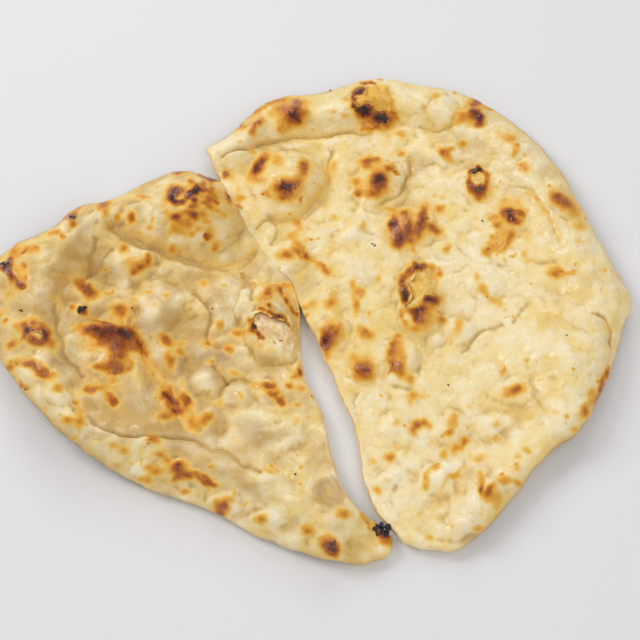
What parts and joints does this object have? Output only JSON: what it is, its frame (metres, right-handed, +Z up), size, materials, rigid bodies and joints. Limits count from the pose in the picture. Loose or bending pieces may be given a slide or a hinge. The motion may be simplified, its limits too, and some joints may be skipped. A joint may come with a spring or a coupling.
{
  "type": "naan bread",
  "caption": "Large leavened flatbread cut across into two halves that lie side by side, with a raised baked rim, blisters and browned spots.",
  "frame": {"origin": "middle of the bread's footprint box, on the surface that it lies on", "axes": "+Z up from the surface; +X to the larger half, along the bread's width; +Y away from the cut's open end, towards the great bubble"},
  "size_m": [0.2858, 0.2612, 0.0236],
  "materials": {
    "crust": "soft buttered crust, cream with golden to charred blisters"
  },
  "bodies": {
    "root": {"left_half": "crust", "right_half": "crust"}
  },
  "joints": []
}
